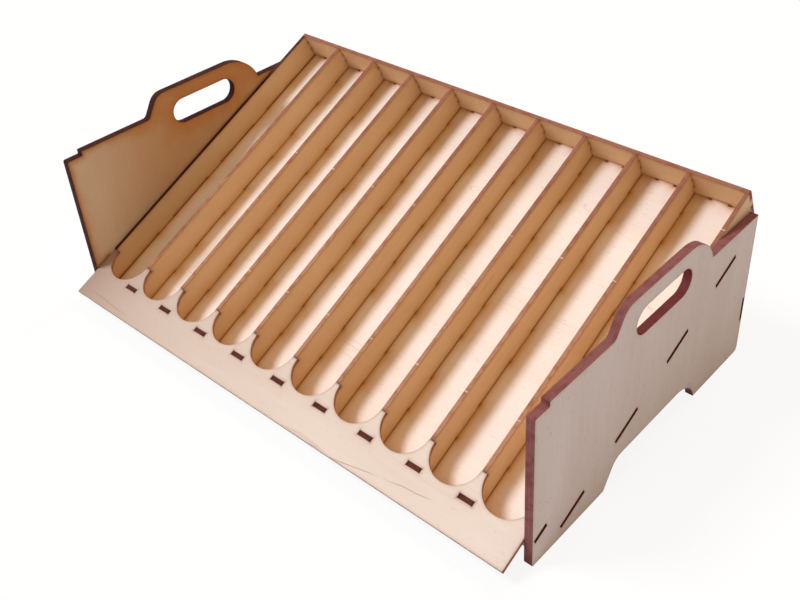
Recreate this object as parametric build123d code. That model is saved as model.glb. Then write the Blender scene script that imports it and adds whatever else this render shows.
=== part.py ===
from build123d import *
import math
import os

# A tilted rack for small pots, glued up from laser-cut plywood.
# Two side panels with grips carry a sloping tray of ten channels behind a scalloped front plate.
#
# Frame: +X to the right, +Y to the back, +Z up, millimetres.
# The origin is on the table, under the middle of the whole rack.
# Pieces of the tray are drawn in its own coordinates: x across, u up the slope from the side
# panels' front edge, and w square to the floor, from the middle of the floor sheet.

# ---- sheets and fits ----
side_sheet = 6.0        # plywood of the two side panels
inner_sheet = 3.0       # plywood of every other piece
laser_gap = 0.1         # play on each side of a tab in its slot
table_gap = 0.15        # the tray's lowest edge stays this far off the table

# ---- tray ----
channels = 10
channel_pitch = 42.0    # from one divider's middle to the next
end_room = 0.8          # the two outermost channels are this much wider
tray_tilt = 25.0        # slope of the floor, degrees
back_rail_u = 276.3     # front face of the back rail
front_rail_u = 10.3     # front face of the front rail
wall_top = 23.6         # top edge of the dividers, outer walls and back rail
plate_top = 22.6        # upper face of the front plate

# ---- front plate ----
plate_lip_u = -12.1     # front edge, which overhangs the side panels' front edge
finger_end_u = 31.6     # ends of the fingers between the scallops
finger_tip = 4.6        # width of a finger at its end
rail_tab = 11.3         # tabs of the front rail that show in the plate
plate_tab_u = 12.4      # start of the tab that goes into a side panel
plate_tab = 12.1

# ---- floor, divider and wall tabs ----
side_tab = 3.0          # tabs reach this far into the side panels' slits
floor_tab_count = 4     # on each side of the floor, into the side panel
floor_tab = 25.6
floor_tab_start_u = 31.3
floor_tab_margin = 33.8     # from the last tab's end to the back rail
divider_tab_count = 4
divider_tab = 26.0
divider_tab_start_u = 45.2
divider_tab_margin = 19.1
wall_tab = 20.0         # outer walls' tabs, one in each gap between the floor's side tabs
floor_back_tab = 15.0   # floor's tabs through the back rail, one in each channel
divider_end_tab = 7.2   # height of a divider's tabs through the back rail and the front rail

# ---- side panels ----
back_overhang = 7.3     # how far the tray reaches behind the side panels
slit_cover = 17.4       # wood above the last slit, up to the panel's rear top edge
rear_step = 5.2         # from the rear top edge up to the middle one
front_step = 3.6        # from the front top edge up to the middle one
step_depth = 13.0       # length of the low top edge at the front
step_round = 0.5
corner_round = 1.6
foot_round = 3.4        # lower corner at the back
hold_offset = 5.5       # handle, grip hole and arch sit this far behind the panel's middle
handle_rise = 17.0      # handle's top above the middle top edge
handle_front = 53.7     # handle's foot, in front of its middle
handle_back = 57.5      # notch behind the handle, behind its middle
handle_front_run = 10.6     # how far the front flank leans back as it rises
handle_foot_round = 4.0
handle_front_round = 12.0
handle_back_round = 33.0    # the back of the handle is one arc, down to the notch
grip_length = 62.0
grip_height = 20.4
grip_drop = 5.1         # grip's middle under the middle top edge
arch_back_round = 27.0
stack_gap = 0.8         # play of the arch before and behind the handle of a rack below
stack_room = 2.4        # play above that handle

# ---- rear brace ----
brace_base = 19.0       # lower edge above the table
brace_height = 39.6
brace_tab = 19.6        # tabs that sit in the side panels' rear edges

# ---- what follows from the sizes above ----
tilt = math.radians(tray_tilt)
half_sheet = inner_sheet / 2
front_rail_back_u = front_rail_u + inner_sheet
back_rail_back_u = back_rail_u + inner_sheet
floor_top = half_sheet
plate_under = plate_top - inner_sheet
tray_half = channels * channel_pitch / 2 + half_sheet + end_room
tab_half = tray_half + side_tab
rack_half = tray_half + side_sheet
tray_datum = table_gap + half_sheet * math.cos(tilt) - front_rail_back_u * math.sin(tilt)
front_reach = plate_lip_u * math.cos(tilt) - plate_top * math.sin(tilt)
back_reach = back_rail_back_u * math.cos(tilt) + half_sheet * math.sin(tilt)
middle_y = (front_reach + back_reach) / 2
panel_depth = back_reach - back_overhang
scallop_radius = (channel_pitch - finger_tip) / 2
front_rail_base = (table_gap - tray_datum - front_rail_u * math.sin(tilt)) / math.cos(tilt)
end_tab_base = floor_top + (wall_top - floor_top - divider_end_tab) / 2
front_tab_base = floor_top + (plate_under - floor_top - divider_end_tab) / 2
last_slit_u = back_rail_u - floor_tab_margin
rear_top = tray_datum + last_slit_u * math.sin(tilt) + half_sheet * math.cos(tilt) + slit_cover
middle_top = rear_top + rear_step
front_top = middle_top - front_step
handle_top = middle_top + handle_rise
hold_y = panel_depth / 2 + hold_offset

divider_places = [channel_pitch * (number - channels / 2) for number in range(1, channels)]
channel_places = [channel_pitch * (number + 0.5 - channels / 2) for number in range(channels)]


def spread(first, last_end, length, count):
    """Start and end of each of a row of equal tabs between two places."""
    step = (last_end - length - first) / (count - 1)
    return [(first + step * number, first + step * number + length) for number in range(count)]


floor_tab_spans = spread(floor_tab_start_u, last_slit_u, floor_tab, floor_tab_count)
divider_tab_spans = spread(
    divider_tab_start_u, back_rail_u - divider_tab_margin, divider_tab, divider_tab_count
)
wall_tab_spans = [
    ((before[1] + after[0] - wall_tab) / 2, (before[1] + after[0] + wall_tab) / 2)
    for before, after in zip(floor_tab_spans, floor_tab_spans[1:])
]


def panel(low, high, play=0.0):
    """Rectangle between two corners, grown on every side by some play."""
    wide = high[0] - low[0] + 2 * play
    tall = high[1] - low[1] + 2 * play
    return Pos((low[0] + high[0]) / 2, (low[1] + high[1]) / 2) * Rectangle(wide, tall)


def tray_place(x=0.0):
    """Where the tray's own coordinates lie in the rack, moved along x."""
    slope = Plane(
        origin=(0, -middle_y, tray_datum),
        x_dir=(1, 0, 0),
        z_dir=(0, -math.sin(tilt), math.cos(tilt)),
    )
    return slope.location * Pos(x, 0, 0)


def flat_sheet(outline, base):
    """A piece that lies along the slope, from its outline in x and u."""
    return tray_place() * Pos(0, 0, base) * extrude(outline, inner_sheet)


def lengthwise_sheet(outline, x):
    """A piece that runs up the slope on edge, from its outline in u and w."""
    return tray_place(x) * extrude(Plane.YZ * outline, half_sheet, both=True)


def crosswise_sheet(outline, front_u):
    """A piece that runs across the slope on edge, from its outline in x and w."""
    sheet = extrude(Plane.XZ * outline, half_sheet, both=True)
    return tray_place() * Pos(0, front_u + half_sheet, 0) * sheet


def tray_floor():
    """Floor sheet with slots for the dividers and tabs on three sides."""
    outline = panel((-tray_half, front_rail_back_u), (tray_half, back_rail_u))
    for start, end in floor_tab_spans:
        outline += panel((-tab_half, start), (tab_half, end))
    for x in channel_places:
        half = floor_back_tab / 2
        outline += panel((x - half, back_rail_u - half_sheet), (x + half, back_rail_back_u))
    for x in divider_places:
        for start, end in divider_tab_spans:
            outline -= panel((x - half_sheet, start), (x + half_sheet, end), laser_gap)
    for side in (-1, 1):
        for start, end in wall_tab_spans:
            notch_middle = side * (tray_half - half_sheet)
            notch = (inner_sheet + 2 * laser_gap, end - start + 2 * laser_gap)
            outline -= Pos(notch_middle, (start + end) / 2) * Rectangle(*notch)
    return flat_sheet(outline, -half_sheet)


def upright_outline(tab_spans):
    """Outline in u and w that dividers and outer walls share: low under the plate, then full
    height, with tabs down through the floor and out through both rails."""
    behind_finger = finger_end_u + laser_gap
    outline = panel((front_rail_back_u, floor_top), (behind_finger + inner_sheet, plate_under))
    outline += panel((behind_finger, floor_top), (back_rail_u, wall_top))
    outline += panel(
        (back_rail_u - inner_sheet, end_tab_base),
        (back_rail_back_u, end_tab_base + divider_end_tab),
    )
    outline += panel(
        (front_rail_u, front_tab_base),
        (front_rail_back_u + inner_sheet, front_tab_base + divider_end_tab),
    )
    for start, end in tab_spans:
        outline += panel((start, -half_sheet), (end, floor_top + half_sheet))
    return outline


def divider(x):
    return lengthwise_sheet(upright_outline(divider_tab_spans), x)


def outer_wall(side):
    return lengthwise_sheet(upright_outline(wall_tab_spans), side * (tray_half - half_sheet))


def end_tab_slots(base):
    """Slots in a rail for the tabs of the dividers and, at its ends, of the outer walls."""
    slots = Sketch()
    for x in divider_places + [-tray_half + half_sheet, tray_half - half_sheet]:
        slots += panel((x - half_sheet, base), (x + half_sheet, base + divider_end_tab), laser_gap)
    return slots


def back_rail():
    """Strip that closes the channels' upper end, finger-jointed to the outer walls."""
    outline = panel((-tray_half, -half_sheet), (tray_half, wall_top))
    outline -= end_tab_slots(end_tab_base)
    for x in channel_places:
        half = floor_back_tab / 2
        outline -= panel((x - half, -half_sheet), (x + half, floor_top), laser_gap)
    return crosswise_sheet(outline, back_rail_u)


def front_rail():
    """Strip that closes the channels' lower end, with tabs up through the front plate."""
    outline = panel((-tray_half, front_rail_base), (tray_half, plate_under))
    for x in divider_places:
        half = rail_tab / 2
        outline += panel((x - half, plate_under - half_sheet), (x + half, plate_top))
    outline -= end_tab_slots(front_tab_base)
    return crosswise_sheet(outline, front_rail_u)


def front_plate():
    """Scalloped plate that holds the pots in by their lower half and leaves them room."""
    outline = panel((-tray_half, plate_lip_u), (tray_half, finger_end_u))
    outline += panel((-tab_half, plate_tab_u), (tab_half, plate_tab_u + plate_tab))
    for x in channel_places:
        outline -= Pos(x, finger_end_u) * Circle(scallop_radius)
    for x in divider_places:
        half = rail_tab / 2
        outline -= panel((x - half, front_rail_u), (x + half, front_rail_back_u), laser_gap)
    return flat_sheet(outline, plate_under)


def corner_round_at(outline, place, radius):
    """Round the outline's corner nearest to a place."""
    corner = outline.vertices().sort_by_distance(Vector(*place))[0]
    return fillet(corner, radius)


def arc_run(radius, fall):
    """How far an arc reaches that leaves a level top and falls by so much."""
    return math.sqrt(radius**2 - (radius - fall) ** 2)


def round_end(end, top, radius):
    """Arc that leaves a level top at some height and ends, further back, at a place."""
    fall = top - end[1]
    start = (end[0] - arc_run(radius, fall), top)
    turn = math.degrees(math.acos(1 - fall / radius))
    return JernArc(start=start, tangent=(1, 0), radius=radius, arc_size=-turn)


def side_outline():
    """Side panel in y and z, y measured from its front edge: two feet with an arch between
    them, and a handle on top whose shape the arch repeats with some play."""
    handle_foot = hold_y - handle_front
    handle_notch = hold_y + handle_back
    handle_end = handle_notch - arc_run(handle_back_round, handle_top - rear_top)
    arch_front = handle_foot - stack_gap
    arch_back = handle_end + arc_run(handle_back_round, handle_rise) + stack_gap
    arch_top = handle_rise + stack_room
    front_flank_lean = handle_front_run / handle_rise
    handle_back_arc = round_end((handle_notch, rear_top), handle_top, handle_back_round)
    arch_back_arc = round_end((arch_back, 0), arch_top, arch_back_round)
    front_corners = [
        (handle_foot + handle_front_run, handle_top),
        (handle_foot, middle_top),
        (step_depth, middle_top),
        (step_depth, front_top),
        (0, front_top),
        (0, 0),
        (arch_front, 0),
        (arch_front + front_flank_lean * arch_top, arch_top),
    ]
    back_corners = [(arch_back, 0), (panel_depth, 0), (panel_depth, rear_top), (handle_notch, rear_top)]
    front_edges = Polyline(handle_back_arc @ 0, *front_corners, arch_back_arc @ 0)
    outline = make_face(front_edges + arch_back_arc + Polyline(*back_corners) + handle_back_arc)
    rounds = [
        (front_corners[0], handle_front_round),
        (front_corners[1], handle_foot_round),
        (front_corners[2], step_round),
        (front_corners[3], step_round),
        (front_corners[4], corner_round),
        (front_corners[5], corner_round),
        (front_corners[7], handle_front_round),
        (back_corners[1], foot_round),
    ]
    for place, radius in rounds:
        outline = corner_round_at(outline, place, radius)
    return outline


def side_slits():
    """Slits for the tabs of the floor and of the front plate, in the tray's own slope."""
    slits = Sketch()
    for start, end in floor_tab_spans:
        slits += panel((start, -half_sheet), (end, half_sheet), laser_gap)
    slits += panel((plate_tab_u, plate_under), (plate_tab_u + plate_tab, plate_top), laser_gap)
    return Pos(0, tray_datum) * Rot(0, 0, tray_tilt) * slits


def brace_tab_base():
    return brace_base + (brace_height - brace_tab) / 2


def side_panel(side):
    """One side of the rack, its inner face flush with the tray's outer wall."""
    outline = side_outline()
    outline -= Pos(hold_y, middle_top - grip_drop) * SlotOverall(grip_length, grip_height)
    outline -= side_slits()
    outline -= panel(
        (panel_depth - inner_sheet, brace_tab_base()),
        (panel_depth + inner_sheet, brace_tab_base() + brace_tab),
        laser_gap,
    )
    sheet = extrude(Plane.YZ * outline, side_sheet)
    inner_face = tray_half if side > 0 else -rack_half
    return Pos(inner_face, -middle_y, 0) * sheet


def rear_brace():
    """Cross strip let into the side panels' rear edges, which keeps the rack square."""
    outline = panel((-tray_half, brace_base), (tray_half, brace_base + brace_height))
    outline += panel((-tab_half, brace_tab_base()), (tab_half, brace_tab_base() + brace_tab))
    sheet = extrude(Plane.XZ * outline, half_sheet, both=True)
    return Pos(0, panel_depth - half_sheet - middle_y, 0) * sheet


pieces = {
    "left_side_panel": side_panel(-1),
    "right_side_panel": side_panel(1),
    "tray_floor": tray_floor(),
    "left_outer_wall": outer_wall(-1),
    "right_outer_wall": outer_wall(1),
    "back_rail": back_rail(),
    "front_rail": front_rail(),
    "front_plate": front_plate(),
    "rear_brace": rear_brace(),
}
for number, x in enumerate(divider_places, start=1):
    pieces[f"divider_{number}"] = divider(x)

os.makedirs("parts", exist_ok=True)
for name, piece in pieces.items():
    export_step(piece, f"parts/{name}.step")
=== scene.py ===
import math

import bmesh
import bpy
import numpy as np
from mathutils import Matrix, Vector
from mathutils.geometry import delaunay_2d_cdt


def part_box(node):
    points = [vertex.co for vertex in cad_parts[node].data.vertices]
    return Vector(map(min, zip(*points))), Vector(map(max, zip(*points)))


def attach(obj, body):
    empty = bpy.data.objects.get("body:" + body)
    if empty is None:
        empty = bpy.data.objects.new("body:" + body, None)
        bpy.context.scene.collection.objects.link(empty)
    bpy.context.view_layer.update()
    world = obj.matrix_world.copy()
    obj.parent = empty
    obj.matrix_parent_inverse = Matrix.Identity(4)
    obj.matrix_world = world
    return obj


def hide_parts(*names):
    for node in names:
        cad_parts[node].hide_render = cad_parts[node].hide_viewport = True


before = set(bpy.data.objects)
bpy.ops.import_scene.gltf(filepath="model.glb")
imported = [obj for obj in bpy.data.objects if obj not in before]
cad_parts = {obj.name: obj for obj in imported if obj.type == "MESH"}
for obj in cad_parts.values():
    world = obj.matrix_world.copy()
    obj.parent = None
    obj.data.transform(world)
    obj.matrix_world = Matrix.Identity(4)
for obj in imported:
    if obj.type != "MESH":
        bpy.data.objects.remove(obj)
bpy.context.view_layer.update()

# ---- side panels ----
# Two uprights of 6 mm birch plywood, laser-cut in one go with handle, grip hole and arched foot.
# The beam chars every cut edge maroon, and its smoke tints the face that lay underneath.
mm = 0.001              # m, which is what every mesh here is in
weld = 0.00001          # m, within which two corners of a CAD mesh are one
arris = 0.18            # mm, the sharp corner that handling has taken off a cut edge
rim_spacing = 3.0       # mm between points along a cut
scorch_rings = (0.5, 1.2, 2.4, 4.2, 7.0)    # mm in from a cut, where the scorch is followed closely
ring_slack = 0.97       # share of a ring's width that its points keep from every other cut
field_spacing = 7.0     # mm between points in the open field of a sheet
field_gap = 2.0         # mm between the last ring and the open field
same_point = 0.0001     # mm, within which two points of a face are one
corner_turn = 45        # degrees that the outline turns by at a sharp corner
crease = 32             # degrees between two faces whose shared edge stays sharp
no_hole = 100.0         # mm, given as the way to the nearest hole where a sheet has none


def outline_of(node, along, across):
    """A CAD sheet's outline and holes in its own plane, and the depths of its faces, in mm."""
    out = along.cross(across)
    copy = bmesh.new()
    copy.from_mesh(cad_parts[node].data)
    bmesh.ops.remove_doubles(copy, verts=copy.verts, dist=weld)
    copy.verts.index_update()
    depths = [vert.co.dot(out) for vert in copy.verts]
    low, high = min(depths), max(depths)
    runs = set()
    for face in copy.faces:
        if min(vert.co.dot(out) for vert in face.verts) > high - 2 * weld:
            runs |= {(side.vert.index, side.link_loop_next.vert.index) for side in face.loops}
    follows = dict(run for run in runs if run[::-1] not in runs)
    copy.verts.ensure_lookup_table()
    loops = []
    while follows:
        start = next(iter(follows))
        walk = [start]
        while follows[walk[-1]] != start:
            walk.append(follows[walk[-1]])
        for index in walk:
            del follows[index]
        places = [copy.verts[index].co for index in walk]
        loops.append(np.array([(place.dot(along), place.dot(across)) for place in places]) / mm)
    copy.free()
    return loops, low / mm, high / mm


def close_spaced(loop):
    """The same loop, with points no further apart than the rim spacing."""
    points = []
    for start, end in zip(loop, np.roll(loop, -1, axis=0)):
        count = max(1, math.ceil(np.linalg.norm(end - start) / rim_spacing))
        points += [start + (end - start) * step / count for step in range(count)]
    return np.array(points)


def moved_in(loop, width):
    """The loop moved into the wood, which lies on its left, with mitred corners."""
    step = np.roll(loop, -1, axis=0) - loop
    step /= np.linalg.norm(step, axis=1)[:, None]
    after = np.stack([-step[:, 1], step[:, 0]], axis=1)
    before = np.roll(after, 1, axis=0)
    lean = 1 + (before * after).sum(axis=1)
    return loop + width * (before + after) / lean[:, None]


def ends_of(loops):
    """Start and end of every straight piece of some loops."""
    return np.concatenate(loops), np.concatenate([np.roll(loop, -1, axis=0) for loop in loops])


def runs_clockwise(loop):
    """True for the edge of a hole, which runs the other way round than a sheet's own edge."""
    after = np.roll(loop, -1, axis=0)
    return (loop[:, 0] * after[:, 1] - loop[:, 1] * after[:, 0]).sum() < 0


def sharp_corners(loops):
    """The places where the outline turns sharply, and the beam stands still for a moment."""
    found = []
    for loop in loops:
        step = np.roll(loop, -1, axis=0) - loop
        step /= np.linalg.norm(step, axis=1)[:, None]
        turn = (step * np.roll(step, 1, axis=0)).sum(axis=1)
        found.append(loop[turn < math.cos(math.radians(corner_turn))])
    return np.concatenate(found)


def distance_from(points, starts, ends):
    """Distance from each point to the nearest of some straight pieces."""
    nearest = np.full(len(points), np.inf)
    for start, end in zip(starts, ends):
        run = end - start
        share = np.clip((points - start) @ run / (run @ run), 0, 1)
        away = np.linalg.norm(points - start - share[:, None] * run, axis=1)
        nearest = np.minimum(nearest, away)
    return nearest


def in_wood(points, starts, ends):
    """True where a line from the point crosses the outline an odd number of times."""
    crossed = np.zeros(len(points), int)
    for (x1, y1), (x2, y2) in zip(starts, ends):
        if y1 != y2:
            passes = (y1 > points[:, 1]) != (y2 > points[:, 1])
            where = x1 + (points[:, 1] - y1) * (x2 - x1) / (y2 - y1)
            crossed += passes & (points[:, 0] < where)
    return crossed % 2 == 1


def points_within(loops, rims):
    """Points inside a sheet's outline: rings that follow its cuts, and an open field."""
    starts, ends = ends_of(loops)
    inner = []
    for ring in scorch_rings:
        ring_points = np.concatenate([moved_in(rim, ring) for rim in rims])
        away = distance_from(ring_points, starts, ends)
        inner.append(ring_points[(away > ring_slack * ring) & in_wood(ring_points, starts, ends)])
    corner, far_corner = starts.min(axis=0), starts.max(axis=0)
    columns = np.arange(corner[0], far_corner[0], field_spacing)
    rows = np.arange(corner[1], far_corner[1], field_spacing)
    field = np.stack(np.meshgrid(columns, rows), axis=-1).reshape(-1, 2)
    field = field[in_wood(field, starts, ends)]
    inner.append(field[distance_from(field, starts, ends) > scorch_rings[-1] + field_gap])
    return inner


def face_triangles(face_rims, inner, sides):
    """A sheet's face: its points, its triangles, and where each point of its rims has gone."""
    points = [Vector(point) for point in np.concatenate(face_rims + inner)]
    placed, _, triangles, came_from, _, _ = delaunay_2d_cdt(points, sides, [], 0, same_point)
    placed = np.array([tuple(point) for point in placed])
    now_at = {old: new for new, olds in enumerate(came_from) for old in olds}
    centres = np.array([placed[list(corners)].mean(axis=0) for corners in triangles])
    kept = in_wood(centres, *ends_of(face_rims))
    return placed, [tuple(corners) for corners, keep in zip(triangles, kept) if keep], now_at


def set_out(name, data):
    """A new object in the scene, from a mesh, a lamp or a camera."""
    made = bpy.data.objects.new(name, data)
    bpy.context.scene.collection.objects.link(made)
    return made


def plywood_sheet(node, along, across, finishes):
    """Rebuild a CAD sheet with broken arrises and with points close enough together near its
    cuts to carry the scorch. The finishes are for the face that along x across points to, for
    the other face and for the cut edge."""
    out = along.cross(across)
    loops, low, high = outline_of(node, along, across)
    rims = [close_spaced(loop) for loop in loops]
    face_rims = [moved_in(rim, arris) for rim in rims]
    sides, rim_count = [], 0
    for rim in rims:
        sides += [(rim_count + i, rim_count + (i + 1) % len(rim)) for i in range(len(rim))]
        rim_count += len(rim)
    placed, triangles, now_at = face_triangles(face_rims, points_within(loops, rims), sides)

    count = len(placed)
    rim_points = np.concatenate(rims)
    flat = np.concatenate([placed, placed, rim_points, rim_points])
    depth = np.repeat([high, low, high - arris, low + arris], [count, count, rim_count, rim_count])
    axes = np.array([along, across, out])
    vertices = np.column_stack([flat, depth]) @ axes * mm
    faces = list(triangles)
    faces += [tuple(count + corner for corner in reversed(corners)) for corners in triangles]
    upper, lower = 2 * count, 2 * count + rim_count
    for a, b in sides:
        faces.append((now_at[a], upper + a, upper + b, now_at[b]))
        faces.append((upper + a, lower + a, lower + b, upper + b))
        faces.append((lower + a, count + now_at[a], count + now_at[b], lower + b))

    mesh = bpy.data.meshes.new(node + "_birch")
    mesh.from_pydata([tuple(vertex) for vertex in vertices], [], faces)
    for finish in finishes:
        mesh.materials.append(finish)
    slots = [0] * len(triangles) + [1] * len(triangles) + [2] * (3 * len(sides))
    mesh.polygons.foreach_set("material_index", slots)
    mesh.polygons.foreach_set("use_smooth", [True] * len(mesh.polygons))
    mesh.set_sharp_from_angle(angle=math.radians(crease))
    corners = sharp_corners(loops)
    holes = [loop for loop in loops if runs_clockwise(loop)]
    measures = {
        "cut_mm": distance_from(flat, *ends_of(loops)),
        "corner_mm": np.min([np.linalg.norm(flat - place, axis=1) for place in corners], axis=0),
        "hole_mm": distance_from(flat, *ends_of(holes)) if holes else np.full(len(flat), no_hole),
        "ply_mm": depth - low,
    }
    for measure, values in measures.items():
        mesh.attributes.new(measure, "FLOAT", "POINT").data.foreach_set("value", values)
    piece = set_out(node + "_birch", mesh)
    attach(piece, "root")
    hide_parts(node)
    return piece


def put(tree, kind, values=None, **settings):
    """Add a node with its settings, and give each named input a value or a link."""
    made = tree.nodes.new(kind)
    for key, value in settings.items():
        setattr(made, key, value)
    for key, value in (values or {}).items():
        if isinstance(value, bpy.types.NodeSocket):
            tree.links.new(value, made.inputs[key])
        else:
            made.inputs[key].default_value = value
    return made


def calc(tree, operation, *terms):
    """A sum in nodes: numbers or sockets in, a socket out."""
    return put(tree, "ShaderNodeMath", dict(enumerate(terms)), operation=operation).outputs[0]


def noise(tree, vector, stretch, detail=2.0):
    """Noise on a vector whose three directions are scaled apart."""
    scaled = put(tree, "ShaderNodeVectorMath", {0: vector, 1: stretch}, operation="MULTIPLY")
    settings = {"Vector": scaled.outputs[0], "Scale": 1.0, "Detail": detail}
    return put(tree, "ShaderNodeTexNoise", settings).outputs[0]


def ramp(tree, value, low, high, from_value=0.0, to_value=1.0):
    """A value mapped smoothly from one span to another, and held at its ends."""
    limits = {"Value": value, 1: low, 2: high, 3: from_value, 4: to_value}
    return put(tree, "ShaderNodeMapRange", limits, interpolation_type="SMOOTHSTEP").outputs[0]


def fading(tree, away, span, power=1.0):
    """A mark that is full where it starts, and fades out with its distance over the span."""
    share = calc(tree, "POWER", calc(tree, "DIVIDE", away, span), power)
    return calc(tree, "EXPONENT", calc(tree, "MULTIPLY", share, -1.0))


def tint(tree, factor, colour, other):
    """One colour over another, by a factor. A Mix node takes its two colours at inputs 6 and 7,
    and gives the mixed one at output 2."""
    made = tree.nodes.new("ShaderNodeMix")
    made.data_type = "RGBA"
    for index, value in ((0, factor), (6, colour), (7, other)):
        if isinstance(value, bpy.types.NodeSocket):
            tree.links.new(value, made.inputs[index])
        else:
            made.inputs[index].default_value = value if index == 0 else (*value, 1.0)
    return made.outputs[2]


def effect(name, ins, outs):
    """A new node group, what its inputs bring into it, and where its outputs are fed."""
    tree = bpy.data.node_groups.new(name, "ShaderNodeTree")
    for label, kind, value in ins:
        socket = tree.interface.new_socket(name=label, in_out="INPUT", socket_type=kind)
        if value is not None:
            socket.default_value = value
    for label in outs:
        tree.interface.new_socket(name=label, in_out="OUTPUT", socket_type="NodeSocketFloat")
    return tree, tree.nodes.new("NodeGroupInput").outputs, tree.nodes.new("NodeGroupOutput").inputs


# Grain of rotary-cut birch, which runs along the vector's X: soft clouds, fine streaks, a few
# wandering growth lines and short dark flecks.
grain, given, gives = effect(
    "birch grain",
    [("Vector", "NodeSocketVector", None), ("Line Density", "NodeSocketFloat", 5.0)],
    ["Tone", "Lines", "Flecks", "Height"],
)
clouds = noise(grain, given["Vector"], (7, 30, 30))
streaks = noise(grain, given["Vector"], (24, 420, 420), 3.0)
wander = noise(grain, given["Vector"], (4.5, 42, 42), 1.0)
presence = noise(grain, given["Vector"], (11, 60, 60), 1.0)
specks = noise(grain, given["Vector"], (240, 1500, 1500), 1.0)
cloudy = calc(grain, "MULTIPLY_ADD", calc(grain, "SUBTRACT", clouds, 0.5), 1.5, 0.5)
tone = calc(grain, "MULTIPLY_ADD", calc(grain, "SUBTRACT", streaks, 0.5), 0.7, cloudy)
wave = calc(grain, "FRACT", calc(grain, "MULTIPLY", wander, given["Line Density"]))
near_line = calc(grain, "ABSOLUTE", calc(grain, "SUBTRACT", wave, 0.5))
line = ramp(grain, near_line, 0.0, 0.022, 1.0, 0.0)
line = calc(grain, "MULTIPLY", line, ramp(grain, presence, 0.52, 0.66))
height = calc(grain, "SUBTRACT", calc(grain, "MULTIPLY", streaks, 0.6), line)
grain.links.new(tone, gives["Tone"])
grain.links.new(line, gives["Lines"])
grain.links.new(ramp(grain, specks, 0.66, 0.78), gives["Flecks"])
grain.links.new(height, gives["Height"])

# What the beam leaves on a face: smoke that fades away from the cut, a char line at the cut,
# and a burnt spot in a paler halo where the beam stood still at the corner of a slot.
scorch, given, gives = effect(
    "laser scorch",
    [
        ("Vector", "NodeSocketVector", None),
        ("Cut", "NodeSocketFloat", 100.0),
        ("Corner", "NodeSocketFloat", 100.0),
        ("Reach", "NodeSocketFloat", 4.0),
    ],
    ["Smoke", "Char", "Spot", "Halo"],
)
drift = noise(scorch, given["Vector"], (60, 60, 60), 3.0)
uneven = calc(scorch, "MULTIPLY", drift, 2.0)
reach = calc(scorch, "MULTIPLY", given["Reach"], uneven)
scorch.links.new(fading(scorch, given["Cut"], reach, 1.5), gives["Smoke"])
# The other marks fade over fixed spans in mm, from the cut or from its nearest corner.
for mark, source, span, power in (("Char", "Cut", 0.7, 1.0),
                                  ("Spot", "Corner", 1.6, 2.0),
                                  ("Halo", "Corner", 5.0, 1.0)):
    faded = fading(scorch, given[source], span, power)
    scorch.links.new(calc(scorch, "MULTIPLY", faded, uneven), gives[mark])

# The cut edge: crossed plies, whose end grain chars darker than their long grain, with thin
# dark glue lines between them and an uneven sooty skin.
plies, given, gives = effect(
    "charred plies",
    [
        ("Vector", "NodeSocketVector", None),
        ("Depth", "NodeSocketFloat", 0.0),
        ("Ply", "NodeSocketFloat", 1.0),
    ],
    ["Light", "Glue", "Soot", "Height"],
)
layers = calc(plies, "DIVIDE", given["Depth"], given["Ply"])
parity = calc(plies, "PINGPONG", calc(plies, "ADD", layers, 0.5), 1.0)
through = calc(plies, "FRACT", layers)
edge_near = calc(plies, "MINIMUM", through, calc(plies, "SUBTRACT", 1.0, through))
glue = ramp(plies, edge_near, 0.0, 0.12, 1.0, 0.0)
fibres = noise(plies, given["Vector"], (900, 900, 900), 1.0)
plies.links.new(ramp(plies, parity, 0.3, 0.7), gives["Light"])
plies.links.new(glue, gives["Glue"])
plies.links.new(noise(plies, given["Vector"], (160, 160, 160), 3.0), gives["Soot"])
plies.links.new(calc(plies, "SUBTRACT", fibres, glue), gives["Height"])


def placed_vector(tree, turn=(0.0, 0.0, 0.0), shift=(0.0, 0.0, 0.0)):
    """Object coordinates, turned so that the grain runs along X and moved to a fresh place."""
    place = put(tree, "ShaderNodeTexCoord").outputs["Object"]
    values = {"Vector": place, "Rotation": turn, "Location": shift}
    return put(tree, "ShaderNodeMapping", values).outputs[0]


def parts_of(tree, vector):
    """A vector's three coordinates, as outputs with the names X, Y and Z."""
    return put(tree, "ShaderNodeSeparateXYZ", {0: vector}).outputs


def measure_of(tree, name):
    """One of the measures in mm that a sheet's points carry."""
    return put(tree, "ShaderNodeAttribute", attribute_name=name).outputs["Fac"]


def blank_finish(name):
    """A new material, its nodes and its plain shader."""
    made = bpy.data.materials.new(name)
    made.use_nodes = True
    return made, made.node_tree, made.node_tree.nodes["Principled BSDF"]


def lay_over(finish, factor, colour):
    """Lay a colour over a material that is finished already, by a factor."""
    base = finish.node_tree.nodes["Principled BSDF"].inputs["Base Color"]
    laid = tint(finish.node_tree, factor, base.links[0].from_socket, colour)
    finish.node_tree.links.new(laid, base)


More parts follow.
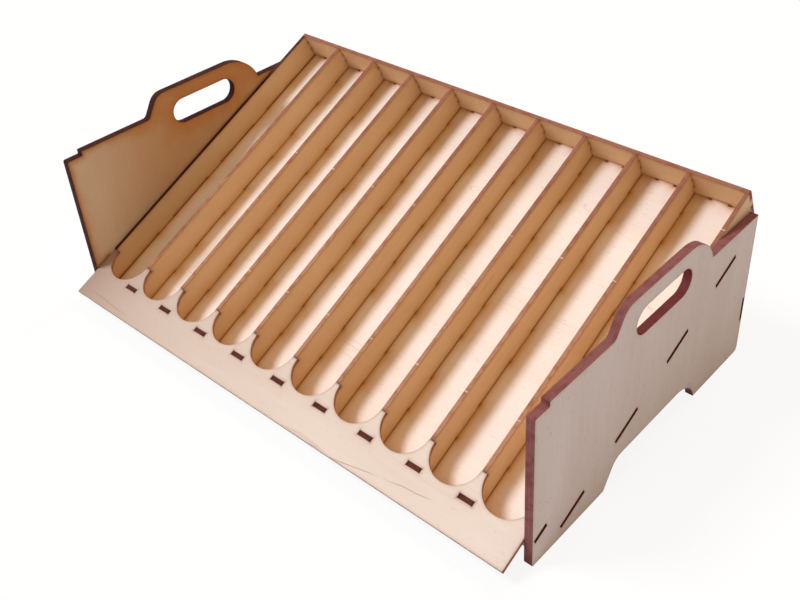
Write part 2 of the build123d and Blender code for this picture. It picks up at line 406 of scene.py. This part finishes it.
def birch_face(name, turn, pale, warm, smoke, reach=4.0, lines=0.35, flecks=0.35, spots=0.0,
               char=0.7, shift=(0.0, 0.0, 0.0)):
    """Sanded birch veneer. Pale and warm are the two ends of its own colour, smoke is how much
    of the laser's smoke it holds, and reach is how far that goes, in mm. The shift is in m."""
    made, tree, shader = blank_finish(name)
    vector = placed_vector(tree, turn, shift)
    wood = put(tree, "ShaderNodeGroup", {"Vector": vector}, node_tree=grain).outputs
    burnt_at = {"Vector": vector, "Cut": measure_of(tree, "cut_mm"),
                "Corner": measure_of(tree, "corner_mm"), "Reach": reach}
    burn = put(tree, "ShaderNodeGroup", burnt_at, node_tree=scorch, name="scorch").outputs
    colour = tint(tree, wood["Tone"], pale, warm)
    colour.node.name = "veneer"
    line_tone = tuple(channel * share for channel, share in zip(warm, (0.5, 0.4, 0.36)))
    colour = tint(tree, calc(tree, "MULTIPLY", wood["Lines"], lines), colour, line_tone)
    colour = tint(tree, calc(tree, "MULTIPLY", wood["Flecks"], flecks), colour, line_tone)
    for mark, amount, burnt in (("Smoke", smoke, (0.59, 0.26, 0.08)),
                                ("Halo", 0.3 * spots, (0.58, 0.22, 0.06)),
                                ("Spot", spots, (0.10, 0.018, 0.004)),
                                ("Char", char, (0.07, 0.018, 0.010))):
        colour = tint(tree, calc(tree, "MULTIPLY", burn[mark], amount), colour, burnt)
    tree.links.new(colour, shader.inputs["Base Color"])
    rough = calc(tree, "MULTIPLY_ADD", wood["Tone"], 0.14, 0.55)
    tree.links.new(rough, shader.inputs["Roughness"])
    relief = {"Height": wood["Height"], "Strength": 0.18, "Distance": 0.12 * mm}
    tree.links.new(put(tree, "ShaderNodeBump", relief).outputs[0], shader.inputs["Normal"])
    shader.inputs["Specular IOR Level"].default_value = 0.15
    return made


def charred_edge(name, ply, dark, light):
    """A laser-cut edge of plywood with plies of a given thickness, in mm. The edge of a hole is
    darker than the sheet's own edge with painted shade, and a corner is burnt darkest."""
    made, tree, shader = blank_finish(name)
    layered = {"Vector": placed_vector(tree), "Depth": measure_of(tree, "ply_mm"), "Ply": ply}
    cut = put(tree, "ShaderNodeGroup", layered, node_tree=plies).outputs
    colour = tint(tree, calc(tree, "MULTIPLY_ADD", cut["Light"], 0.16, 0.40), dark, light)
    colour = tint(tree, ramp(tree, cut["Soot"], 0.42, 0.72, 0.0, 0.75), colour, dark)
    glue_tone = tuple(channel * 0.5 for channel in dark)
    corner_burn = fading(tree, measure_of(tree, "corner_mm"), 0.9)
    burnt = calc(tree, "MAXIMUM", corner_burn, calc(tree, "MULTIPLY", cut["Glue"], 0.25))
    colour = tint(tree, burnt, colour, glue_tone)
    # Painted shade darkens the edge inside a hole, such as the grip.
    in_hole = calc(tree, "LESS_THAN", measure_of(tree, "hole_mm"), 0.5)
    hole_shade_tone = tuple(channel * share for channel, share in zip(dark, (0.8, 0.35, 0.35)))
    colour = tint(tree, calc(tree, "MULTIPLY", in_hole, 0.7), colour, hole_shade_tone)
    tree.links.new(colour, shader.inputs["Base Color"])
    rough = calc(tree, "MULTIPLY_ADD", cut["Soot"], 0.3, 0.45)
    tree.links.new(rough, shader.inputs["Roughness"])
    relief = {"Height": cut["Height"], "Strength": 0.25, "Distance": 0.1 * mm}
    tree.links.new(put(tree, "ShaderNodeBump", relief).outputs[0], shader.inputs["Normal"])
    shader.inputs["Specular IOR Level"].default_value = 0.05
    return made


right, back, top = Vector((1, 0, 0)), Vector((0, 1, 0)), Vector((0, 0, 1))
upright_grain = (0.0, math.radians(90), 0.0)
side_outside = birch_face("side birch outside", upright_grain, (0.80, 0.70, 0.71),
                          (0.72, 0.615, 0.605), smoke=0.15, reach=1.5, lines=0.25, flecks=0.5,
                          char=0.25)
side_inside = birch_face("side birch inside", upright_grain, (0.78, 0.615, 0.47),
                         (0.70, 0.53, 0.38), smoke=0.95, lines=0.2, flecks=0.2, char=0.6, spots=0.3)
# The inside browns from the front to the handle, under its growth lines and burns, and the
# smoke goes further in there.
browned_birch = (0.60, 0.345, 0.16)
tree = side_inside.node_tree
panel_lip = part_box("left_side_panel")[0].y
depth_along = parts_of(tree, placed_vector(tree))["Y"]
behind_lip = calc(tree, "DIVIDE", calc(tree, "SUBTRACT", depth_along, panel_lip), mm)
smoke_reach = ramp(tree, behind_lip, 30.0, 100.0, 3.5, 14.0)
tree.links.new(smoke_reach, tree.nodes["scorch"].inputs["Reach"])
browned = ramp(tree, behind_lip, 10.0, 90.0, 0.0, 0.75)
veneer = tree.nodes["veneer"].outputs[2]
over_veneer = veneer.links[0].to_socket
tree.links.new(tint(tree, browned, veneer, browned_birch), over_veneer)
side_cut = charred_edge("side birch cut edge", 1.2, (0.17, 0.050, 0.048), (0.33, 0.14, 0.145))
# The left panel's cut edges take a much darker copy of the side edge: painted shade for the shade
# they lie in.
shaded_side_cut = charred_edge("left side birch cut edge", 1.2, (0.035, 0.007, 0.005),
                         (0.08, 0.020, 0.014))
right_side = plywood_sheet("right_side_panel", back, top, (side_outside, side_inside, side_cut))
left_side = plywood_sheet("left_side_panel", back, top, (side_inside, side_outside, shaded_side_cut))

# ---- tray floor ----
# One sloping sheet of 3 mm birch ply. Slots in rows take the dividers' feet, and tabs at its
# sides reach into the side panels' slits.
tilt = math.radians(25)
up_slope = Vector((0, math.cos(tilt), math.sin(tilt)))
off_slope = right.cross(up_slope)
cross_grain = (-tilt, 0.0, 0.0)
floor_face = birch_face("tray floor birch", cross_grain, (0.875, 0.79, 0.77),
                        (0.825, 0.71, 0.665), smoke=0.7, reach=4.5, lines=0.3, flecks=0.35,
                        spots=1.8, char=0.7)
# Painted shade lies along both sides of the dividers' feet, one every channel pitch, with a dark
# contact line.
channel_pitch = 42.0    # mm
strip_sheet = 3.0       # mm, the thickness of a divider
tree = floor_face.node_tree
across_tray = calc(tree, "DIVIDE", parts_of(tree, placed_vector(tree))["X"], mm)
from_divider = calc(tree, "PINGPONG", across_tray, channel_pitch / 2)
from_foot = calc(tree, "MAXIMUM", calc(tree, "SUBTRACT", from_divider, strip_sheet / 2), 0.0)
shade_drift = noise(tree, placed_vector(tree, cross_grain, (0.2, 0.0, 0.0)), (25, 60, 60), 3.0)
foot_reach = calc(tree, "MULTIPLY_ADD", shade_drift, 9.0, 1.5)
foot_shade = calc(tree, "MULTIPLY", fading(tree, from_foot, foot_reach, 1.4), 0.55)
foot_deep_shade = calc(tree, "MULTIPLY", fading(tree, from_foot, 2.2), 0.6)
foot_contact_shade = ramp(tree, from_foot, 0.0, 0.9, 0.75, 0.0)
# Painted shade over the floor's own colour: a warm band, its deeper part near the foot, and a thin
# contact shadow.
lay_over(floor_face, foot_shade, (0.90, 0.64, 0.27))
lay_over(floor_face, foot_deep_shade, (0.55, 0.21, 0.05))
lay_over(floor_face, foot_contact_shade, (0.16, 0.030, 0.006))
tray_cut = charred_edge("tray birch cut edge", 1.0, (0.31, 0.115, 0.070), (0.62, 0.365, 0.235))
# These edges darken towards the tray's upper end.
tree = tray_cut.node_tree
up_the_tray = parts_of(tree, placed_vector(tree, cross_grain))["Y"]
lay_over(tray_cut, ramp(tree, up_the_tray, 0.0, 0.12, 0.0, 0.55), (0.23, 0.072, 0.055))
# A much darker copy of the tray's cut edge is painted shade, for the left outer wall, the front rail
# and the brace's tab ends.
shaded_tray_cut = charred_edge("shaded tray birch cut edge", 1.0, (0.055, 0.014, 0.011),
                              (0.15, 0.048, 0.038))
floor_piece = plywood_sheet("tray_floor", right, up_slope, (floor_face, floor_face, tray_cut))

# ---- outer walls and dividers ----
# Long strips of the same 3 mm ply on edge, their tabs glued down through the floor's slots and
# out through the rails at both ends. Their grain runs the long way.
long_grain = (-tilt, 0.0, math.radians(-90))
strip_face = birch_face("divider birch", long_grain, (0.83, 0.61, 0.39), (0.76, 0.52, 0.30),
                        smoke=0.45, reach=2.2, lines=0.15, flecks=0.25, char=0.25, spots=0.35)
strips = [f"divider_{number}" for number in range(1, 10)] + ["left_outer_wall", "right_outer_wall"]
for node in strips:
    # The left outer wall's edges take the darker copy: painted shade.
    cut = shaded_tray_cut if node == "left_outer_wall" else tray_cut
    strip = plywood_sheet(node, up_slope, off_slope, (strip_face, strip_face, cut))

# Small unburnt stubs of the bridges that held a strip in its sheet until it was snapped out:
# how far from the strip's upper end they sit, in mm, and on which strips.
stub_rows = [(209.8, [f"divider_{number}" for number in range(3, 10)]),
             (106.8, [f"divider_{number}" for number in range(2, 6)]),
             (98.3, [f"divider_{number}" for number in range(7, 10)]),
             (34.7, ["right_outer_wall"])]
stub_places = []
for from_end, nodes in stub_rows:
    for node in nodes:
        corners = [vert.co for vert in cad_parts[node].data.vertices]
        across = sum(corner.x for corner in corners) / len(corners)
        along = max(corner.dot(up_slope) for corner in corners) - from_end * mm
        top_edge = max(corner.dot(off_slope) for corner in corners)
        stub_places.append(across * right + along * up_slope + top_edge * off_slope)

stub_wood = birch_face("unburnt birch", long_grain, (0.76, 0.57, 0.43), (0.66, 0.46, 0.32),
                       smoke=0.0, char=0.0)
# A stub's size, the smallest and largest share of it that one may have, since no two snap off
# alike, and its slope, which is the tray's.
stub_inputs = {
    "Size": ("NodeSocketVector", (3.04 * mm, 0.65 * mm, 0.2 * mm)),
    "Smallest": ("NodeSocketVector", (1.0, 0.6, 0.6)),
    "Largest": ("NodeSocketVector", (1.0, 1.4, 1.3)),
    "Slope": ("NodeSocketFloat", tilt),
    "Seed": ("NodeSocketInt", 7),
    "Wood": ("NodeSocketMaterial", stub_wood),
}
stub_tree = bpy.data.node_groups.new("bridge stubs", "GeometryNodeTree")
stub_tree.interface.new_socket(name="Places", in_out="INPUT", socket_type="NodeSocketGeometry")
for label, (kind, _) in stub_inputs.items():
    stub_tree.interface.new_socket(name=label, in_out="INPUT", socket_type=kind)
stub_tree.interface.new_socket(name="Stubs", in_out="OUTPUT", socket_type="NodeSocketGeometry")
given = stub_tree.nodes.new("NodeGroupInput").outputs
block = put(stub_tree, "GeometryNodeMeshCube", {"Size": given["Size"]})
turned = put(stub_tree, "ShaderNodeCombineXYZ", {"X": given["Slope"]})
size_limits = {0: given["Smallest"], 1: given["Largest"], "Seed": given["Seed"]}
uneven_size = put(stub_tree, "FunctionNodeRandomValue", size_limits, data_type="FLOAT_VECTOR")
stubs = put(stub_tree, "GeometryNodeInstanceOnPoints",
            {"Points": given["Places"], "Instance": block.outputs["Mesh"],
             "Rotation": turned.outputs[0], "Scale": uneven_size.outputs[0]})
solid_stubs = put(stub_tree, "GeometryNodeRealizeInstances", {"Geometry": stubs.outputs[0]})
wooden = put(stub_tree, "GeometryNodeSetMaterial",
             {"Geometry": solid_stubs.outputs[0], "Material": given["Wood"]})
stub_tree.links.new(wooden.outputs[0], stub_tree.nodes.new("NodeGroupOutput").inputs["Stubs"])

stub_mesh = bpy.data.meshes.new("bridge_stubs")
stub_mesh.from_pydata(stub_places, [], [])
stub_piece = set_out("bridge_stubs", stub_mesh)
grower = stub_piece.modifiers.new("stubs", "NODES")
grower.node_group = stub_tree
for item in stub_tree.interface.items_tree:
    if item.name in stub_inputs:
        grower[item.identifier] = stub_inputs[item.name][1]
with_stubs = stub_piece.evaluated_get(bpy.context.evaluated_depsgraph_get())
grown = bpy.data.meshes.new_from_object(with_stubs)
stub_piece.modifiers.clear()
stub_piece.data = grown
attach(stub_piece, "root")

# ---- rails ----
# Two strips across the tray: the back rail closes the channels' upper ends, and the front rail
# their lower ends, with tabs that come up flush through the front plate.
rail_face = birch_face("rail birch", cross_grain, (0.84, 0.62, 0.41), (0.76, 0.52, 0.32),
                       smoke=0.5, reach=2.2, lines=0.2, flecks=0.3, char=0.4, spots=0.2,
                       shift=(0.31, 0.0, 0.0))
# The front rail's edges take the darker copy: painted shade.
for node, cut in (("back_rail", tray_cut), ("front_rail", shaded_tray_cut)):
    rail = plywood_sheet(node, off_slope, right, (rail_face, rail_face, cut))

# ---- front plate ----
# The scalloped sheet over the channels' lower ends. It is cut from a plainer, pinker veneer,
# and each scallop leaves room for a fingertip at its channel's mouth.
plate_face = birch_face("front plate birch", cross_grain, (0.77, 0.68, 0.64),
                        (0.72, 0.605, 0.55), smoke=0.15, reach=1.0, lines=0.25, flecks=0.3,
                        char=0.35, spots=0.3, shift=(0.7, 0.11, 0.0))
tree = plate_face.node_tree
place = parts_of(tree, placed_vector(tree, cross_grain))
along_mm = calc(tree, "DIVIDE", place["X"], mm)
plate_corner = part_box("front_plate")[0]
corner_height = plate_corner.y * math.cos(tilt) + plate_corner.z * math.sin(tilt)
across_mm = calc(tree, "DIVIDE", calc(tree, "SUBTRACT", place["Y"], corner_height), mm)
# Painted shade darkens the plate towards its left end, about this many mm left of the middle.
plate_half = 213.0
left_end_shade = fading(tree, calc(tree, "ADD", along_mm, plate_half), 100.0)
lay_over(plate_face, left_end_shade, (0.39, 0.27, 0.225))
# Three thin grey growth lines drift over the plate's lower edge: where each starts and ends
# along the rack, how far up the slope it starts from the low front corner of the plate's box,
# and how much it climbs, all in mm. Each wavers by up to half of the waver to either side.
growth_lines = [(-212, -150, 8.1, -2.5), (60, 112, -0.4, 8.5), (110, 152, 8.6, 5.5)]
line_waver = 3.0        # mm
drifting = noise(tree, placed_vector(tree, cross_grain, (0.4, 0.0, 0.0)), (45, 0, 0), 2.0)
waver = calc(tree, "SUBTRACT", drifting, 0.5)
for start, end, level, climb in growth_lines:
    travelled = calc(tree, "DIVIDE", calc(tree, "SUBTRACT", along_mm, start), end - start)
    course = calc(tree, "MULTIPLY_ADD", travelled, climb, level)
    course = calc(tree, "MULTIPLY_ADD", waver, line_waver, course)
    aside = calc(tree, "ABSOLUTE", calc(tree, "SUBTRACT", across_mm, course))
    starting = ramp(tree, travelled, 0.0, 0.4)
    ending = ramp(tree, travelled, 0.75, 1.0, 1.0, 0.0)
    mark = calc(tree, "MULTIPLY", ramp(tree, aside, 0.1, 0.6, 0.6, 0.0),
                calc(tree, "MULTIPLY", starting, ending))
    lay_over(plate_face, mark, (0.33, 0.22, 0.175))
plate = plywood_sheet("front_plate", right, up_slope, (plate_face, plate_face, tray_cut))

# ---- rear brace ----
# A strip of the same 3 mm birch ply, let into the side panels' rear edges, where its tabs are
# glued in. It keeps the two uprights square.
brace_face = birch_face("brace birch", (0.0, 0.0, 0.0), (0.86, 0.71, 0.58), (0.80, 0.62, 0.48),
                        smoke=0.3, reach=2.0)
brace = plywood_sheet("rear_brace", top, right, (brace_face, brace_face, tray_cut))
# The last few millimetres of its tabs, which come out flush with the panels' outer faces.
tab_shy = 0.1           # mm that a tab end stays behind the panel's face
tab_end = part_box("rear_brace")[1].x
panel_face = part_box("right_side_panel")[1].x - tab_shy * mm
tab_corners = [vert.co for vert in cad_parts["rear_brace"].data.vertices
               if vert.co.x > tab_end - weld]
tab_low = Vector((tab_end, min(co.y for co in tab_corners), min(co.z for co in tab_corners)))
tab_high = Vector((panel_face, max(co.y for co in tab_corners), max(co.z for co in tab_corners)))
blocks = bmesh.new()
for side in (-1, 1):
    middle = (tab_low + tab_high) / 2
    middle.x *= side
    bmesh.ops.create_cube(blocks, size=1.0,
                          matrix=Matrix.LocRotScale(middle, None, tab_high - tab_low))
tab_mesh = bpy.data.meshes.new("brace_tab_ends")
blocks.to_mesh(tab_mesh)
blocks.free()
# The tab ends take the darker copy of the cut edge: painted shade.
tab_mesh.materials.append(shaded_tray_cut)
tab_ends = set_out("brace_tab_ends", tab_mesh)
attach(tab_ends, "root")

# ---- table, light and camera ----
# A plain white table that keeps the rack's shadow, one soft lamp high on the left, a weaker one
# behind, and the camera where the photograph was taken from.
table_half = 4.0        # m


def seen_rays(tree):
    """1 for what the camera sees, straight or in a gloss, and 0 for what only gives light."""
    rays = put(tree, "ShaderNodeLightPath").outputs
    glossed = calc(tree, "MAXIMUM", rays["Is Glossy Ray"], rays["Is Transmission Ray"])
    return calc(tree, "MAXIMUM", rays["Is Camera Ray"], glossed)


table_mesh = bpy.data.meshes.new("table")
table_corners = [(x * table_half, y * table_half, 0) for x, y in ((-1, -1), (1, -1), (1, 1), (-1, 1))]
table_mesh.from_pydata(table_corners, [], [(0, 1, 2, 3)])
table = set_out("table", table_mesh)
white, tree, shader = blank_finish("white table")
shader.inputs["Base Color"].default_value = (0.78, 0.81, 0.86, 1.0)
shader.inputs["Roughness"].default_value = 0.9
glow = put(tree, "ShaderNodeEmission", {"Color": (1, 1, 1, 1), "Strength": 1.02})
blend = put(tree, "ShaderNodeMixShader",
            {0: calc(tree, "MULTIPLY", seen_rays(tree), 0.87), 1: shader.outputs[0],
             2: glow.outputs[0]})
tree.links.new(blend.outputs[0], tree.nodes["Material Output"].inputs["Surface"])
table_mesh.materials.append(white)

sky = bpy.data.worlds.new("studio")
bpy.context.scene.world = sky
sky.use_nodes = True
tree = sky.node_tree
direction = parts_of(tree, put(tree, "ShaderNodeTexCoord").outputs["Generated"])
overhead = ramp(tree, direction["Z"], 0.1, 0.65)
room_tone = tint(tree, overhead, (0.19, 0.21, 0.235), (0.51, 0.35, 0.155))
sky_tone = tint(tree, seen_rays(tree), room_tone, (1.0, 1.0, 1.0))
tree.links.new(sky_tone, tree.nodes["Background"].inputs["Color"])


def lamp(name, towards, power, spread, colour):
    """A lamp so far off that its rays are parallel, with a soft edge to its shadows."""
    light = bpy.data.lights.new(name, "SUN")
    light.color = colour
    light.energy = power
    light.angle = math.radians(spread)
    made = set_out(name, light)
    made.rotation_mode = "QUATERNION"
    made.rotation_quaternion = towards.normalized().to_track_quat("Z", "Y")


key_lean = math.radians(29)
lamp("key_lamp", math.cos(key_lean) * off_slope - math.sin(key_lean) * right, 2.5, 18,
     (0.86, 0.93, 1.0))
rear_rise = math.radians(27)
lamp("rear_lamp", math.sin(rear_rise) * off_slope + math.cos(rear_rise) * up_slope, 0.6, 10,
     (1.0, 0.9, 0.8))

# The camera's focal length and the middle of its view are in pixels of the picture. Its place
# is counted from the table's height and the side panels' front edges, halfway between them.
camera_data = bpy.data.cameras.new("camera")
camera = set_out("camera", camera_data)
picture_width, picture_height = 800, 600
focal_px, centre_x_px, centre_y_px = 1040.71, 444.81, 254.96
camera_data.sensor_width = 36
camera_data.lens = focal_px * camera_data.sensor_width / picture_width
camera_data.shift_x = (picture_width / 2 - centre_x_px) / picture_width
camera_data.shift_y = (centre_y_px - picture_height / 2) / picture_width
panel_front = Vector((0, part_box("right_side_panel")[0].y, 0))
view_right = Vector((0.75832, 0.65095, -0.03468))
view_out = Vector((-0.54527, 0.60426, -0.58099))
view_up = view_right.cross(view_out)
eye = Vector((0.4452, -0.31546, 0.50169)) + panel_front
view_turn = Matrix((view_right, view_up, -view_out)).transposed()
camera.matrix_world = Matrix.Translation(eye) @ view_turn.to_4x4()
bpy.context.scene.camera = camera
bpy.context.scene.view_settings.view_transform = "Standard"
